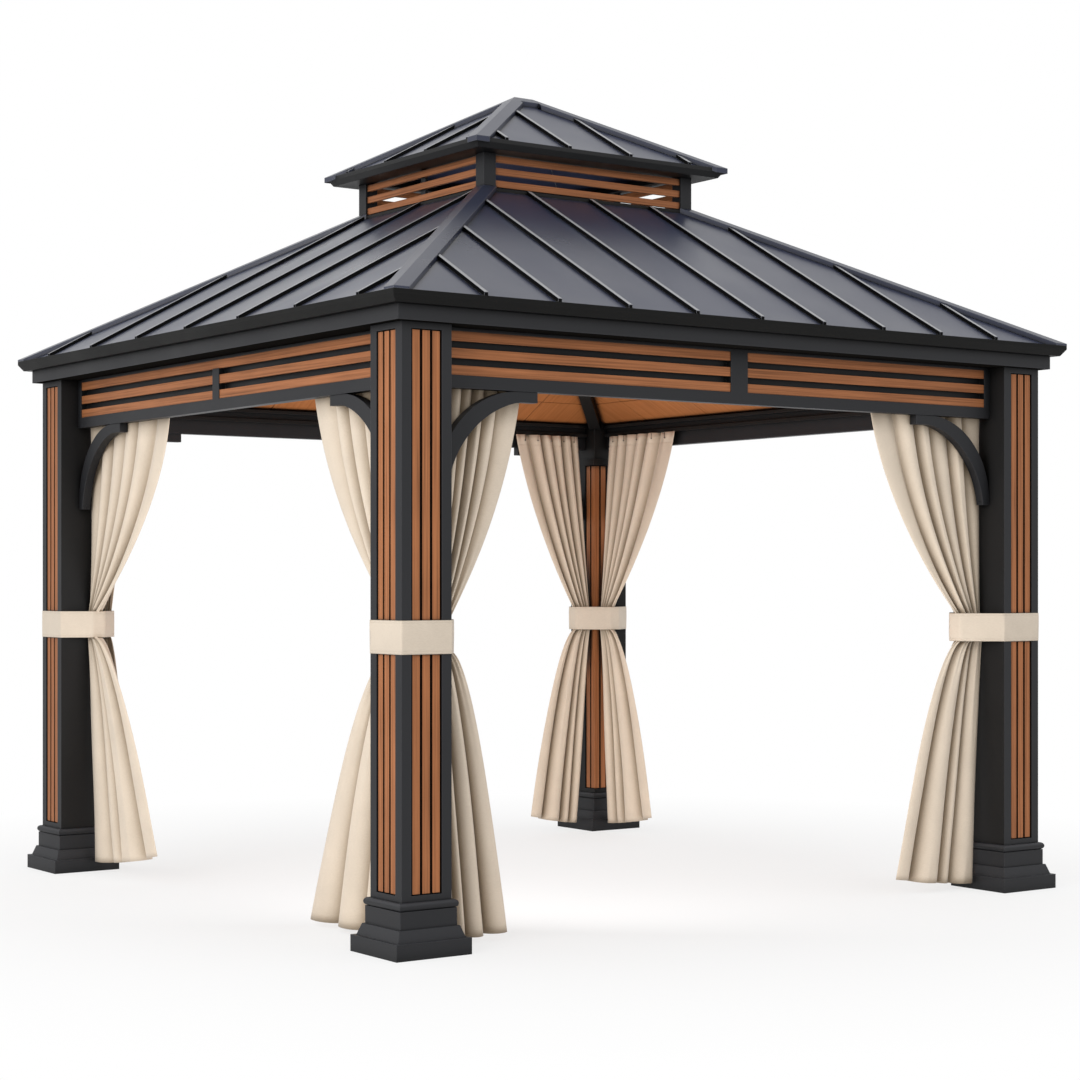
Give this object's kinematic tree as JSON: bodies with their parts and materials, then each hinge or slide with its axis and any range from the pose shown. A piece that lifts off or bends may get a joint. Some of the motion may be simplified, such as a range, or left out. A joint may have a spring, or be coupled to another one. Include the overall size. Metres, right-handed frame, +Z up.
{
  "type": "metal gazebo",
  "caption": "Hardtop metal gazebo with a two-tier hipped standing-seam roof, louvred cupola, slatted posts and friezes, arched brackets and tied-back curtains.",
  "frame": {"origin": "centre of the plan at ground level, under the ridge", "axes": "+Z up; +X along the front from the left post to the right post; +Y from the front to the back"},
  "size_m": [3.412, 3.312, 3.4884],
  "materials": {
    "frame": "satin charcoal powder coat",
    "gutter": "satin black powder coat",
    "foot_steel": "galvanised",
    "roof_sheet": "satin slate blue grey coat",
    "roof_cap": "satin dark grey coat",
    "slats": "matt wood-grain print on aluminium",
    "ceiling": "matt wood-grain boards",
    "curtain": "woven polyester, matt",
    "tie_band": "woven polyester, matt"
  },
  "bodies": {
    "root": {"plinth_front_left": "frame", "post_front_left": "frame", "post_slats_front_left": "slats", "curtains_front_left": "curtain", "tie_front_left": "tie_band", "plinth_front_right": "frame", "post_front_right": "frame", "post_slats_front_right": "slats", "curtains_front_right": "curtain", "tie_front_right": "tie_band", "plinth_back_right": "frame", "post_back_right": "frame", "post_slats_back_right": "slats", "curtains_back_right": "curtain", "tie_back_right": "tie_band", "plinth_back_left": "frame", "post_back_left": "frame", "post_slats_back_left": "slats", "curtains_back_left": "curtain", "tie_back_left": "tie_band", "frieze_front": "frame", "frieze_slats_front": "slats", "brackets_front": "frame", "roof_front": "roof_sheet", "frieze_right": "frame", "frieze_slats_right": "slats", "brackets_right": "frame", "roof_right": "roof_sheet", "frieze_back": "frame", "frieze_slats_back": "slats", "brackets_back": "frame", "roof_back": "roof_sheet", "frieze_left": "frame", "frieze_slats_left": "slats", "brackets_left": "frame", "roof_left": "roof_sheet", "foot_plates": "foot_steel", "eave_fascia": "frame", "gutters": "gutter", "curtain_tracks": "gutter", "hip_caps": "roof_cap", "ceiling_boards": "ceiling", "ceiling_ledgers": "gutter", "hip_rafters": "gutter", "cupola_curb": "gutter", "cupola_posts": "frame", "cupola_louvres": "slats", "upper_eave": "gutter", "upper_roof": "roof_sheet", "upper_caps": "roof_cap"}
  },
  "joints": []
}
